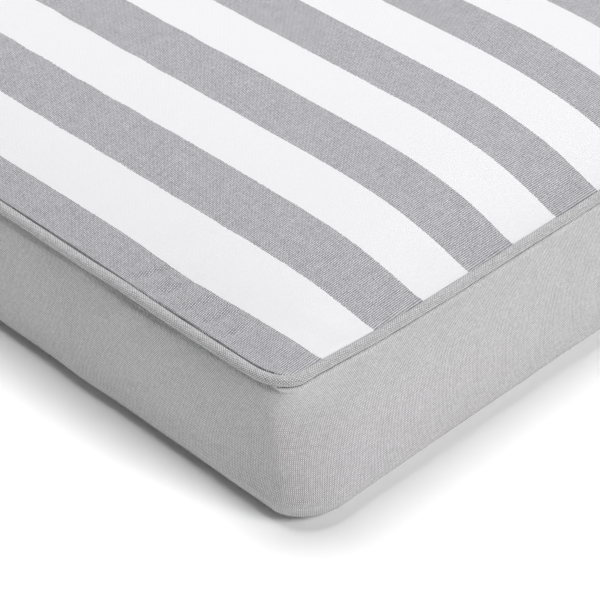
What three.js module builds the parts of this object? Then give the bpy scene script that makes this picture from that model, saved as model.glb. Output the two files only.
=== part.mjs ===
// A square seat cushion with a box edge: a filled body whose sides are the plain boxing, a striped
// top panel sewn over the crown, piping in the top seam and a plain panel underneath.
// Millimetres, +Z up. The origin is under the middle of the cushion, on the surface that it rests on,
// and -Y is the front.

import * as THREE from 'three';

// Plan and heights
const SIDE = 500;               // over the piping, both ways
const PIPING = 5.4;             // diameter of the piping
const SEAM_HEIGHT = 78;         // middle of the piping above the resting surface
const CORNER = 24;              // corner radius of the piping's middle line
const DRAWN_IN = 1.2;           // how far the left and right pull in at mid-side
const BOWED_OUT = 0.8;          // how far the front and back bow out at mid-side

// Crown of the filled top
const CROWN = 25.5;             // rise of the middle above the seam
const CROWN_SIDE = 3.3;         // a low power is a long slope up from the left and right seams
const CROWN_FRONT = 8;          // a high power is a short slope up from the front and back seams
const EDGE_RISE = 1;            // the panel's face at the seam, above the middle of the piping

// Boxing
const BULGE_SIDE = 2.8;         // how far the left and right faces swell past the seam
const BULGE_FRONT = 13;         // how far the front and back faces swell past the seam
const BULGE_TURN = 1.35;        // 1 is a straight lean outwards, and more turns upright sooner
const TUCK = 1;                 // how far the boxing is drawn in right under the piping
const TUCK_FADE = 12;           // a high power ends that within a few millimetres
const ROUNDING = 13;            // radius of the lower edge
const BASE_SEAM_ANGLE = 40;     // degrees up the rounding at which the base panel is sewn on

// Cloth and clearances
const PANEL = 2;                // thickness of the top and base panels with their seam allowance
const GAP = 0.4;                // between pieces that touch

// Faceting
const CORNER_STEPS = 6;
const SIDE_STEPS = 11;
const PIPING_SIDES = 10;
const TOP_RINGS = [0.985, 0.965, 0.94, 0.905, 0.86, 0.79, 0.68, 0.52, 0.3];
const BOXING_RINGS = [0.08, 0.25, 0.5, 0.75];
const BASE_RINGS = [0.55];
const ROUNDING_ANGLES = [90, 65];

// Distances from the middle of the cushion, and levels
const SEAM = (SIDE - PIPING) / 2;
const CLEAR = PIPING / 2 + GAP;
const EDGE = SEAM - CLEAR;
const EDGE_CORNER = CORNER - CLEAR;
const FACE_LEVEL = SEAM_HEIGHT + EDGE_RISE;
const BOXING_TOP = SEAM_HEIGHT - CLEAR;
const BED = PANEL + GAP;

const radians = THREE.MathUtils.degToRad;

// How far a side is pulled in or bowed out beside a place that lies this far from its middle
function midSide(along) {
  return Math.cos(Math.PI / 2 * THREE.MathUtils.clamp(along / SEAM, -1, 1)) ** 2;
}

// Pulls the left and right in, and bows the front and back out
function drawn([x, y]) {
  return [
    x - Math.sign(x) * DRAWN_IN * midSide(y),
    y + Math.sign(y) * BOWED_OUT * midSide(x),
  ];
}

// Points round a square with rounded corners, the same number for every size, closer near corners
function outline(halfX, halfY, radius) {
  const points = [];
  for (let quarter = 0; quarter < 4; quarter++) {
    const turn = quarter * Math.PI / 2;
    const [reach, across] = quarter % 2 === 0 ? [halfX, halfY] : [halfY, halfX];
    const straight = across - radius;
    const local = [];
    for (let step = 1; step < SIDE_STEPS; step++) {
      local.push([reach, -straight * Math.cos(Math.PI * step / SIDE_STEPS)]);
    }
    for (let step = 0; step <= CORNER_STEPS; step++) {
      const angle = Math.PI / 2 * step / CORNER_STEPS;
      local.push([
        reach - radius + radius * Math.cos(angle),
        straight + radius * Math.sin(angle),
      ]);
    }
    for (const [x, y] of local) {
      points.push([
        x * Math.cos(turn) - y * Math.sin(turn),
        x * Math.sin(turn) + y * Math.cos(turn),
      ]);
    }
  }
  return points;
}

// One ring of points at one height
function ring(halfX, halfY, radius, z) {
  return outline(halfX, halfY, radius).map((point) => [...drawn(point), z]);
}

// How far the edge of the top panel lies from the middle, beside a place on the other axis
function edgeReach(along) {
  const straight = EDGE - EDGE_CORNER;
  const past = THREE.MathUtils.clamp(Math.abs(along) - straight, 0, EDGE_CORNER);
  return straight + Math.sqrt(EDGE_CORNER ** 2 - past ** 2);
}

// Rise of the crown above the edge of the top panel
function crown(x, y) {
  const reachX = edgeReach(y) - DRAWN_IN * midSide(y);
  const reachY = edgeReach(x) + BOWED_OUT * midSide(x);
  const shareX = Math.min(1, Math.abs(x) / Math.max(reachX, 1));
  const shareY = Math.min(1, Math.abs(y) / Math.max(reachY, 1));
  return CROWN * (1 - shareX ** CROWN_SIDE) * (1 - shareY ** CROWN_FRONT);
}

// Rings that climb the crown from just inside an edge ring to near the middle
function crownRings(edge, height) {
  return TOP_RINGS.map((share) => edge.map(([x, y]) => {
    const [px, py] = [x * share, y * share];
    return [px, py, height + crown(px, py)];
  }));
}

// Flat rings that run from an edge ring towards the middle
function flatRings(edge) {
  return BASE_RINGS.map((share) => edge.map(([x, y, z]) => [x * share, y * share, z]));
}

// One ring of the boxing's straight part, at a share of the way down from seam to rounding
function boxingRing(share) {
  const out = 1 - (1 - share) ** BULGE_TURN;
  const tuck = TUCK * (1 - share) ** TUCK_FADE;
  return ring(
    SEAM + BULGE_SIDE * out - tuck,
    SEAM + BULGE_FRONT * out - tuck,
    CORNER,
    BOXING_TOP + (ROUNDING - BOXING_TOP) * share,
  );
}

// One ring of the rounded lower edge, at an angle up from its lowest line and a depth in the cloth
function roundingRing(degrees, depth) {
  const radius = ROUNDING - depth;
  const inset = ROUNDING - radius * Math.sin(radians(degrees));
  const height = ROUNDING - radius * Math.cos(radians(degrees));
  return ring(
    SEAM + BULGE_SIDE - inset,
    SEAM + BULGE_FRONT - inset,
    CORNER - inset,
    height,
  );
}

// The angle up the rounding of the seam between boxing and base panel, or of a place this far past it
function baseSeamAngle(past) {
  return BASE_SEAM_ANGLE + past / ROUNDING * THREE.MathUtils.RAD2DEG;
}

// A closed skin over rings that run down the outside, from a point above to a point below
function skin(rings, first, last) {
  const count = rings[0].length;
  const positions = [first, ...rings.flat(), last].flat();
  const end = rings.length * count + 1;
  const index = [];
  const at = (row, column) => 1 + row * count + column % count;
  for (let column = 0; column < count; column++) {
    index.push(0, at(0, column), at(0, column + 1));
    index.push(end, at(rings.length - 1, column + 1), at(rings.length - 1, column));
  }
  for (let row = 0; row + 1 < rings.length; row++) {
    index.push(...band(positions, at, row, row + 1, count));
  }
  return solid(positions, index);
}

// Faces between two rings of the same number of points, each square cut along its shorter diagonal,
// so that the faces of two surfaces that lie on each other match
function band(positions, at, upper, lower, count) {
  const place = (index) => new THREE.Vector3(...positions.slice(3 * index, 3 * index + 3));
  const faces = [];
  for (let column = 0; column < count; column++) {
    const [a, b] = [at(upper, column), at(upper, column + 1)];
    const [c, d] = [at(lower, column), at(lower, column + 1)];
    if (place(a).distanceTo(place(d)) < place(b).distanceTo(place(c))) {
      faces.push(a, c, d, a, d, b);
    } else {
      faces.push(a, c, b, b, c, d);
    }
  }
  return faces;
}

function solid(positions, index) {
  const geometry = new THREE.BufferGeometry();
  geometry.setAttribute('position', new THREE.Float32BufferAttribute(positions, 3));
  geometry.setIndex(index);
  geometry.computeVertexNormals();
  return geometry;
}

// The filled body: crown, groove under the piping, boxing, rounded edge and the ledge for the base
function bodyGeometry() {
  const level = FACE_LEVEL - BED;
  const edge = ring(EDGE, EDGE, EDGE_CORNER, level);
  const ledge = baseSeamAngle(GAP / 2);
  const flat = roundingRing(0, BED);
  const rings = [
    ...crownRings(edge, level).reverse(),
    edge,
    boxingRing(0),
    ...BOXING_RINGS.map(boxingRing),
    ...ROUNDING_ANGLES.map((degrees) => roundingRing(degrees, 0)),
    roundingRing(ledge, 0),
    roundingRing(ledge, BED),
    flat,
    ...flatRings(flat),
  ];
  return skin(rings, [0, 0, level + crown(0, 0)], [0, 0, BED]);
}

// The striped panel: its face over the crown, its raw edge at the seam, and its back
function topPanelGeometry() {
  const back = FACE_LEVEL - PANEL;
  const upper = ring(EDGE, EDGE, EDGE_CORNER, FACE_LEVEL);
  const lower = ring(EDGE, EDGE, EDGE_CORNER, back);
  const rings = [
    ...crownRings(upper, FACE_LEVEL).reverse(),
    upper,
    lower,
    ...crownRings(lower, back),
  ];
  return skin(rings, [0, 0, FACE_LEVEL + crown(0, 0)], [0, 0, back + crown(0, 0)]);
}

// The plain panel underneath, turned up at its rim to the seam with the boxing
function basePanelGeometry() {
  const seam = baseSeamAngle(-GAP / 2);
  const outer = roundingRing(0, 0);
  const inner = roundingRing(0, PANEL);
  const rings = [
    ...flatRings(inner).reverse(),
    inner,
    roundingRing(seam, PANEL),
    roundingRing(seam, 0),
    outer,
    ...flatRings(outer),
  ];
  return skin(rings, [0, 0, PANEL], [0, 0, 0]);
}

// The piping: a round section carried round the top seam and closed on itself
function pipingGeometry() {
  const rings = [];
  for (let side = 0; side < PIPING_SIDES; side++) {
    const angle = 2 * Math.PI * side / PIPING_SIDES;
    const out = PIPING / 2 * Math.cos(angle);
    const up = PIPING / 2 * Math.sin(angle);
    rings.push(ring(SEAM + out, SEAM + out, CORNER + out, SEAM_HEIGHT + up));
  }
  const count = rings[0].length;
  const positions = rings.flat(2);
  const at = (row, column) => row % PIPING_SIDES * count + column % count;
  const index = [];
  for (let side = 0; side < PIPING_SIDES; side++) {
    index.push(...band(positions, at, side + 1, side, count));
  }
  return solid(positions, index);
}

function piece(name, geometry, color, roughness) {
  const material = new THREE.MeshStandardMaterial({ color, roughness, metalness: 0 });
  const mesh = new THREE.Mesh(geometry, material);
  mesh.name = name;
  return mesh;
}

const cushion = new THREE.Group();
cushion.add(
  piece('cushion_body', bodyGeometry(), 0xbdbdbf, 0.9),
  piece('top_panel', topPanelGeometry(), 0xd5d6d9, 0.9),
  piece('piping', pipingGeometry(), 0xb9b9bb, 0.85),
  piece('base_panel', basePanelGeometry(), 0xb9b9bb, 0.9),
);

export default cushion;
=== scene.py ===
"""A square box-edge seat cushion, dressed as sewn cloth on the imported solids.

The striped panel, the piping, the boxing with its filling and the panel underneath are four pieces,
each built over the solid of the same place. Forms are worked out in millimetres from the same sizes
as the solids, and turned into metres when a mesh is made. The origin is under the middle of the
cushion, +Z is up and -Y is the front.
"""
import logging
import math
from dataclasses import dataclass, field, replace
from enum import Enum
from typing import Sequence

import bpy
import numpy as np
from mathutils import Matrix, Vector


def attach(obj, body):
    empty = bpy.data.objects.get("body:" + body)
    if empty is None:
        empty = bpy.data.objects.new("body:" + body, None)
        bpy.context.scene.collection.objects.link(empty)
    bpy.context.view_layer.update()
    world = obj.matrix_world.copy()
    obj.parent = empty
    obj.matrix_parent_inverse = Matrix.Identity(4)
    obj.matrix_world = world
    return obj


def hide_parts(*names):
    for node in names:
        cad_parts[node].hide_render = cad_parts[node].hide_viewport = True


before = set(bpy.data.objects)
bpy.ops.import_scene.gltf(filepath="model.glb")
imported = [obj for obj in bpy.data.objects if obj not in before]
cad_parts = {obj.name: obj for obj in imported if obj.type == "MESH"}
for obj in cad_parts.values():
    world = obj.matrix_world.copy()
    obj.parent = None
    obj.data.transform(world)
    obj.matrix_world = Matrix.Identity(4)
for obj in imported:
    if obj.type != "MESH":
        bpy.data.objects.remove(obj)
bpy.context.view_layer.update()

Array = np.ndarray
Colour = tuple[float, float, float]
Pair = tuple[float, float]
Place = tuple[float, float, float]

MM = 0.001
CLOTH_MAP = "Cloth"
SHARP_ANGLE = math.radians(50)
TINY = 1e-9

# Sizes of the hidden rings that run from a rim to the middle, as shares of the rim
INNER_SHARES = (1.0, 0.985, 0.95, 0.88, 0.77, 0.6, 0.4, 0.2)
BASE_SHARES = (0.9, 0.7, 0.45, 0.2)

# Share of the way round the seam at which the near corner's tip lies
NEAR_CORNER = 0.75

# Numbers of the Mix node's inputs for two colours: the share of the second one, and the colours
MIX_SHARE, MIX_ONE, MIX_TWO = 0, 6, 7

log = logging.getLogger("cushion")


# ---------------------------------------------------------------- forms


class Side(Enum):
    """The four sides, by the quarter turns from +X to the way that each one faces."""

    RIGHT = 0
    BACK = 1
    LEFT = 2
    FRONT = 3

    @property
    def outward(self) -> Pair:
        """The way that the side faces, in plan."""
        return [(1.0, 0.0), (0.0, 1.0), (-1.0, 0.0), (0.0, -1.0)][self.value]

    @property
    def along(self) -> Pair:
        """The way that the side runs, counter-clockwise in plan."""
        out = self.outward
        return -out[1], out[0]


class Fade(Enum):
    """Where a fold dies out: towards its end only, or towards both of its ends."""

    END = 1
    BOTH = 2


@dataclass(frozen=True)
class Plan:
    """The cushion from above: the seam's square, its rounded corners and the pull on its sides.

    Attributes:
        side: Over the piping, both ways.
        piping: Thickness of the piping's solid.
        gap: Between pieces that touch.
        corner: Radii of the seam's corners along X and along Y.
        low_corner: Radii of the boxing's corners above the lower edge.
        drawn_in: How far the left and right pull in at mid-side.
        bowed_out: How far the front and back bow out at mid-side.
        front_out: How far the front and back seams lie outside the square all along.
        pinch: How far those seams are pulled in near their ends.
        pinch_from: How far from the ends that pull is strongest.
        pinch_reach: How far along the seam it is felt.
        pinch_fade: A high power keeps it to the cloth beside the seam.
    """

    side: float = 500.0
    piping: float = 5.4
    gap: float = 0.4
    corner: Pair = (12.2, 22.6)
    low_corner: Pair = (29.0, 23.0)
    drawn_in: float = 1.2
    bowed_out: float = 0.8
    front_out: float = 0.8
    pinch: float = 3.7
    pinch_from: float = 8.0
    pinch_reach: float = 40.0
    pinch_fade: float = 8.0

    @property
    def seam(self) -> float:
        """From the middle of the cushion to the middle of the piping."""
        return (self.side - self.piping) / 2

    @property
    def clear(self) -> float:
        """From the middle of the piping to the cloth beside it."""
        return self.piping / 2 + self.gap

    @property
    def edge(self) -> float:
        """From the middle of the cushion to the edge of the top panel."""
        return self.seam - self.clear

    @property
    def edge_corner(self) -> Pair:
        """Corner radii of the top panel."""
        return self.corner[0] - self.clear, self.corner[1] - self.clear

    def mid_side(self, along: Array) -> Array:
        """One beside the middle of a side, falling to nothing at its ends."""
        return np.cos(np.pi / 2 * np.clip(along / self.seam, -1, 1)) ** 2

    def pinched(self, along: Array) -> Array:
        """How far the front and back seams are pulled in near their ends."""
        off = self.seam - np.abs(along) - self.pinch_from
        return self.pinch * np.exp(-((off / self.pinch_reach) ** 2))

    def drawn(self, plan: Array, pinch: float = 1.0) -> Array:
        """Pulls the left and right in and bows the front and back out.

        Args:
            plan: Points in plan, with X and Y in the last axis.
            pinch: Share of the pull near the ends of the front and back seams.

        Returns:
            The moved points.
        """
        x, y = plan[..., 0], plan[..., 1]
        weight = pinch * np.minimum(np.abs(y) / self.edge, 1) ** self.pinch_fade
        inwards = self.drawn_in * self.mid_side(y)
        return np.stack(
            [x - np.sign(x) * inwards, y + np.sign(y) * self.out_of_line(x, weight)], -1
        )

    def out_of_line(self, along: Array, pinch: float | Array = 1.0) -> Array:
        """How far the front and back seams lie outside the square."""
        bow = self.bowed_out * self.mid_side(along)
        return bow + pinch * (self.front_out - self.pinched(along))

    def edge_reach(self, along: Array, axis: int) -> Array:
        """How far the top panel's edge lies out on one axis, beside a place on the other.

        Args:
            along: Places on the other axis.
            axis: Zero for the reach along X, and one along Y.

        Returns:
            Distances from the middle.
        """
        deep, wide = self.edge_corner[axis], self.edge_corner[1 - axis]
        past = np.clip((np.abs(along) - self.edge + wide) / wide, 0, 1)
        return self.edge - deep + deep * np.sqrt(1 - past**2)


@dataclass(frozen=True)
class Lattice:
    """Grid lines over a square with rounded corners, the same both ways.

    Attributes:
        straight_cells: Cells along the straight part of a side.
        corner_cells: Cells across each corner's radius.
        crowding: One spaces the corner lines evenly, and more crowds them towards the outside.
    """

    straight_cells: int
    corner_cells: int
    crowding: float = 1.0

    @property
    def cells(self) -> int:
        """Cells from one side to the other."""
        return self.straight_cells + 2 * self.corner_cells

    def lines(self) -> tuple[Array, Array]:
        """Shares of the straight part, and signed shares of the corner's radius, of all lines.

        Returns:
            The two kinds of share, line by line.
        """
        steps = np.arange(1, self.corner_cells + 1) / self.corner_cells
        outer = 1 - (1 - steps) ** self.crowding
        ones = np.ones(self.corner_cells)
        share = np.concatenate([-ones, np.linspace(-1, 1, self.straight_cells + 1), ones])
        extra = np.concatenate([-outer[::-1], np.zeros(self.straight_cells + 1), outer])
        return share, extra

    def spread(self, half_x: float, half_y: float, corner: Pair) -> Array:
        """All crossings of the lines over one rounded square.

        Args:
            half_x: Half of the square's width.
            half_y: Half of the square's depth.
            corner: The corners' radii along X and along Y.

        Returns:
            Points in plan, rows along X and columns along Y.
        """
        share, extra = self.lines()
        grow_x, grow_y = np.meshgrid(extra, extra, indexing="ij")
        share_x, share_y = np.meshgrid(share, share, indexing="ij")
        x = share_x * (half_x - corner[0]) + grow_x * np.sqrt(1 - grow_y**2 / 2) * corner[0]
        y = share_y * (half_y - corner[1]) + grow_y * np.sqrt(1 - grow_x**2 / 2) * corner[1]
        return np.stack([x, y], -1)

    def rim(self) -> Array:
        """Indices of the outermost crossings, counter-clockwise from the right side's front end.

        Returns:
            Indices into the crossings, counted row by row.
        """
        n = self.cells
        run = np.arange(n)
        row = np.concatenate([np.full(n, n), n - run, np.zeros(n, int), run])
        column = np.concatenate([run, np.full(n, n), n - run, np.zeros(n, int)])
        return row * (n + 1) + column

    def ring(self, half_x: float, half_y: float, corner: Pair) -> Array:
        """The rim's points for one rounded square, in plan."""
        return self.spread(half_x, half_y, corner).reshape(-1, 2)[self.rim()]

    def facing(self) -> Array:
        """The way that the rim faces at each of its points, as unit vectors in plan."""
        return self.ring(1.0, 1.0, (1.0, 1.0))


@dataclass(frozen=True)
class Form:
    """The cushion's smooth surfaces, before puckers and folds.

    Attributes:
        plan: The cushion from above.
        seam_height: Middle of the piping above the floor.
        crown_rise: Rise of the middle above the panel's edge.
        crown_side: A low power is a long slope up from the left and right seams.
        crown_front: A high power is a short slope up from the front and back seams.
        edge_rise: The panel's face at the seam, above the middle of the piping.
        bulge_side: How far the left and right faces swell past the seam.
        bulge_front: How far the front and back faces swell past the seam.
        bulge_turn: One is a straight lean outwards, and more turns upright sooner.
        tuck: How far the left and right boxing is rolled in right under the piping.
        tuck_reach: How far below the piping that roll ends.
        tuck_power: A high power ends it within a short way.
        slack: How far the boxing is drawn in over a longer stretch.
        slack_reach: How long that stretch is.
        rounding: Radius of the lower edge.
        base_angle: Degrees up the rounding to the seam of the panel underneath.
        panel: Thickness of the top and base panels.
        roll: How far the top panel's face dips into its left and right seams.
        roll_reach: How far from those seams that dip begins.
        lap: How far the top panel's face laps out over its front and back seams.
        lap_reach: How far inside those seams that lap begins.
        lip: How far the front and back boxing stands out at its seam.
        lip_reach: How far below the piping that lip is felt.
        lip_round: Radius of the lip's upper edge.
        lip_rise: How far that edge stands up towards the piping.
        slot_out: From the middle of the piping out to the hidden end of the front and back boxing.
        slot_in: How far the hidden end of the left and right boxing stays outside its roll.
        slot_rises: How far those ends stand above the boxing's top, the left and right one first.
        crisp_facing: A seam is tucked where the square of its facing along Y is below the first
            share, and crisp where it is above the second one.
        frontal_blend: The width over which front and side blend at a corner's diagonal.
        mid_corner: What the boxing's corner radii gain halfway down.
        mid_corner_spread: A low power spreads that gain up and down.
        corner_ease: Share of the way down over which the corners open.
    """

    plan: Plan = field(default_factory=Plan)
    seam_height: float = 78.0
    crown_rise: float = 24.3
    crown_side: float = 3.3
    crown_front: float = 8.0
    edge_rise: float = 1.1
    bulge_side: float = 2.8
    bulge_front: float = 13.0
    bulge_turn: float = 1.35
    tuck: float = 4.0
    tuck_reach: float = 3.8
    tuck_power: float = 4.0
    slack: float = 2.2
    slack_reach: float = 5.5
    rounding: float = 13.0
    base_angle: float = 40.0
    panel: float = 2.0
    roll: float = 3.0
    roll_reach: float = 0.45
    lap: float = 0.65
    lap_reach: float = 1.3
    lip: float = 1.55
    lip_reach: float = 12.0
    lip_round: float = 0.55
    lip_rise: float = 0.15
    slot_out: float = 0.25
    slot_in: float = 0.8
    slot_rises: Pair = (0.5, -0.35)
    crisp_facing: Pair = (0.2, 0.5)
    frontal_blend: float = 10.0
    mid_corner: Pair = (10.0, -2.0)
    mid_corner_spread: float = 0.8
    corner_ease: float = 0.35

    @property
    def face_level(self) -> float:
        """Height of the top panel's face at its edge."""
        return self.seam_height + self.edge_rise

    @property
    def boxing_top(self) -> float:
        """Height at which the boxing meets the piping."""
        return self.seam_height - self.plan.clear

    @property
    def bed(self) -> float:
        """From a panel's face to the filled body under it."""
        return self.panel + self.plan.gap

    def crown(self, x: Array, y: Array) -> Array:
        """Rise of the top above the panel's edge, over places in plan.

        Args:
            x: Places along X.
            y: Places along Y.

        Returns:
            The rise at each place.
        """
        plan = self.plan
        out = plan.out_of_line(x)
        reach_x = plan.edge_reach(np.abs(y) - out, 0) - plan.drawn_in * plan.mid_side(y)
        reach_y = plan.edge_reach(x, 1) + out
        share_x = np.minimum(1, np.abs(x) / np.maximum(reach_x, 1))
        share_y = np.minimum(1, np.abs(y) / np.maximum(reach_y, 1))
        return (
            self.crown_rise
            * (1 - share_x**self.crown_side)
            * (1 - share_y**self.crown_front)
        )

    def inside(self, x: Array, y: Array) -> Array:
        """How far a place in plan lies inside the top panel's edge, at the least.

        Args:
            x: Places along X.
            y: Places along Y.

        Returns:
            The distance at each place, and zero outside.
        """
        plan = self.plan
        wide, deep = plan.edge_corner
        straight_x = np.abs(x) + plan.drawn_in * plan.mid_side(y)
        straight_y = np.abs(y) - plan.out_of_line(x)
        past_x = np.maximum(straight_x - plan.edge + wide, 0) / wide
        past_y = np.maximum(straight_y - plan.edge + deep, 0) / deep
        far = np.hypot(past_x, past_y)
        radius = np.hypot(past_x * wide, past_y * deep) / np.maximum(far, TINY)
        radius = np.where(far < TINY, min(wide, deep), radius)
        return np.maximum(radius * (1 - far), 0)

    def rolled(self, x: Array, y: Array) -> Array:
        """How far the top panel's face dips into its left and right seams at a place in plan."""
        near = 1 - np.clip(self.inside(x, y) / self.roll_reach, 0, 1)
        return (1 - self.frontal(x, y)) * self.roll * (1 - np.sqrt(1 - near**2))

    def lapped(self, x: Array, y: Array) -> Array:
        """How far the panel's face laps out over its front and back seams at a place in plan."""
        return self.lap * self.frontal(x, y) * np.exp(-((self.inside(x, y) / self.lap_reach) ** 2))

    def frontal(self, x: Array, y: Array) -> Array:
        """One beside the front and back seams up to the corners' tips, and nothing elsewhere."""
        return np.clip((np.abs(y) - np.abs(x)) / self.frontal_blend + 1, 0, 1)

    def boxing(self, lattice: Lattice, share: float) -> Array:
        """One ring of the boxing's straight part, at a share of the way down to the rounding.

        Args:
            lattice: Its rim gives the points.
            share: Share of the way down.

        Returns:
            The ring's points.
        """
        out = 1 - (1 - share) ** self.bulge_turn
        down = (self.boxing_top - self.rounding) * share
        tuck = self.tuck * math.exp(-((down / self.tuck_reach) ** self.tuck_power))
        tuck += self.slack * math.exp(-((down / self.slack_reach) ** 2))
        near = max(1 - down / self.lip_round, 0.0)
        lip = self.lip * math.exp(-((down / self.lip_reach) ** 2))
        lip -= self.lip_round * (1 - math.sqrt(1 - near**2))
        seam = self.plan.seam
        square = lattice.ring(
            seam + self.bulge_side * out, seam + self.bulge_front * out, self.corner_at(share)
        )
        facing, crisp = lattice.facing(), self.crisp(lattice)
        square += facing * (crisp * lip - (1 - crisp) * tuck)
        ring = self._level(square, self.boxing_top - down, (1 - share) ** 2)
        ring[:, 2:] += self.lip_rise * near * crisp
        return ring

    def slot(self, lattice: Lattice) -> Array:
        """The ring of the boxing inside its seam, hidden between the boxing and the piping.

        Args:
            lattice: Its rim gives the points.

        Returns:
            The ring's points.
        """
        facing, crisp = lattice.facing(), self.crisp(lattice)
        square = lattice.ring(self.plan.seam, self.plan.seam, self.plan.corner)
        rolled = self.tuck + self.slack - self.slot_in
        square += facing * (crisp * self.slot_out - (1 - crisp) * rolled)
        ring = self._level(square, self.boxing_top, 1.0)
        side_rise, front_rise = self.slot_rises
        ring[:, 2:] += side_rise + (front_rise - side_rise) * crisp
        return ring

    def crisp(self, lattice: Lattice) -> Array:
        """One where the boxing meets the piping in a crisp line, and nothing where it is tucked."""
        tucked, crisp = self.crisp_facing
        return np.clip((lattice.facing()[:, 1:] ** 2 - tucked) / (crisp - tucked), 0, 1)

    def corner_at(self, share: float) -> Pair:
        """Corner radii of the boxing at a share of the way down.

        Args:
            share: Share of the way down.

        Returns:
            Radii along X and along Y.
        """
        eased = math.sin(math.pi / 2 * min(share / self.corner_ease, 1.0)) ** 2
        middle = math.sin(math.pi * share) if 0 < share < 1 else 0.0
        swollen = middle**self.mid_corner_spread
        top, low, mid = self.plan.corner, self.plan.low_corner, self.mid_corner
        return (
            top[0] + (low[0] - top[0]) * eased + mid[0] * swollen,
            top[1] + (low[1] - top[1]) * eased + mid[1] * swollen,
        )

    def rounded(self, lattice: Lattice, degrees: float, depth: float) -> Array:
        """One ring of the rounded lower edge, at an angle up from its lowest line and a depth.

        Args:
            lattice: Its rim gives the points.
            degrees: The angle.
            depth: Depth in the cloth.

        Returns:
            The ring's points.
        """
        return self._level(
            lattice.ring(*self.rounded_square(degrees, depth)), self.rounded_height(degrees, depth)
        )

    def rounded_square(self, degrees: float, depth: float) -> tuple[float, float, Pair]:
        """Half width, half depth and corner radii of a ring of the rounded lower edge.

        Args:
            degrees: Angle up from the lowest line.
            depth: Depth in the cloth.

        Returns:
            The ring's measures, as a lattice takes them.
        """
        radius = self.rounding - depth
        inset = self.rounding - radius * math.sin(math.radians(degrees))
        seam = self.plan.seam
        return (
            seam + self.bulge_side - inset,
            seam + self.bulge_front - inset,
            (self.plan.low_corner[0] - inset, self.plan.low_corner[1] - inset),
        )

    def rounded_height(self, degrees: float, depth: float) -> float:
        """Height of a ring of the rounded lower edge."""
        return self.rounding - (self.rounding - depth) * math.cos(math.radians(degrees))

    def base_seam(self, past: float) -> float:
        """Angle up the rounding to a place this far past the seam of the panel underneath."""
        return self.base_angle + math.degrees(past / self.rounding)

    def _level(self, plan: Array, height: float, pinch: float = 0.0) -> Array:
        """Points in plan, drawn to the cushion's sides and lifted to one height."""
        moved = self.plan.drawn(plan, pinch)
        return np.concatenate([moved, np.full((len(moved), 1), height)], 1)


# ---------------------------------------------------------------- folds and filling


@dataclass(frozen=True)
class Fold:
    """A crease or a ridge in cloth along one line, in the cloth's own two directions.

    Attributes:
        start: Where the fold begins.
        end: Where it has died out.
        rise: Its height, or its depth where this is less than zero.
        width: Half of its breadth.
        shoulders: Share of the rise that the cloth beside it moves the other way.
        fade: Which of its ends die out.
        taper: A high power holds its height up until near its end.
    """

    start: Pair
    end: Pair
    rise: float
    width: float
    shoulders: float = 0.35
    fade: Fade = Fade.END
    taper: float = 1.5

    def lift(self, a: Array, b: Array) -> Array:
        """How far the fold moves the cloth at places given in its two directions.

        Args:
            a: Places in the first direction.
            b: Places in the second direction.

        Returns:
            The move at each place.
        """
        run_a, run_b = self.end[0] - self.start[0], self.end[1] - self.start[1]
        length = math.hypot(run_a, run_b)
        off_a, off_b = a - self.start[0], b - self.start[1]
        along = (off_a * run_a + off_b * run_b) / length**2
        beside = ((off_a * run_b - off_b * run_a) / length / self.width) ** 2
        before = np.exp(-((np.minimum(along, 0) * length / self.width) ** 2))
        inner = np.clip(along, 0, 1)
        if self.fade is Fade.END:
            body = np.cos(np.pi / 2 * inner**self.taper) ** 2
        else:
            body = np.sin(np.pi * inner) ** 2
            before = 1.0
        return self.rise * before * body * (1 - 2 * self.shoulders * beside) * np.exp(-beside)


@dataclass(frozen=True)
class Ripples:
    """Low waves that keep a stretch of cloth from being quite smooth.

    Attributes:
        seed: Seed of the draw.
        height: Height of each wave.
        longest: The longest wave.
        shortest: The shortest wave.
        count: How many waves are laid over each other.
    """

    seed: int
    height: float
    longest: float
    shortest: float
    count: int = 14

    def lift(self, a: Array, b: Array) -> Array:
        """How far the waves move the cloth at places given in its two directions.

        Args:
            a: Places in the first direction.
            b: Places in the second direction.

        Returns:
            The move at each place.
        """
        draw = np.random.default_rng(self.seed)
        total = np.zeros(np.broadcast(a, b).shape)
        for _ in range(self.count):
            length = math.exp(draw.uniform(math.log(self.shortest), math.log(self.longest)))
            turn, phase = draw.uniform(0, math.pi), draw.uniform(0, 2 * math.pi)
            wave = (a * math.cos(turn) + b * math.sin(turn)) * 2 * math.pi / length
            total += self.height * np.sin(wave + phase)
        return total


@dataclass(frozen=True)
class SeamPuckers:
    """Short creases that run into the cloth from a sewn seam.

    Attributes:
        seed: Seed of the draw.
        depth: The least and the most depth.
        width: The least and the most half breadth.
        reach: The least and the most length.
        spacing: The least and the most distance to the next one.
        lean: How far they lean to a side, as a share of their length.
    """

    seed: int
    depth: Pair
    width: Pair
    reach: Pair
    spacing: Pair
    lean: float = 0.35

    def folds(self, length: float) -> list[Fold]:
        """Puckers along a seam that runs in the first direction, into the second one.

        Args:
            length: The seam's length, with its middle at zero.

        Returns:
            The folds.
        """
        draw = np.random.default_rng(self.seed)
        made, place = [], -length / 2
        while True:
            place += draw.uniform(*self.spacing)
            depth, width = draw.uniform(*self.depth), draw.uniform(*self.width)
            reach, lean = draw.uniform(*self.reach), draw.normal(0, self.lean)
            if place > length / 2:
                return made
            made.append(Fold((place, 0.0), (place + lean * reach, reach), -depth, width))


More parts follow.
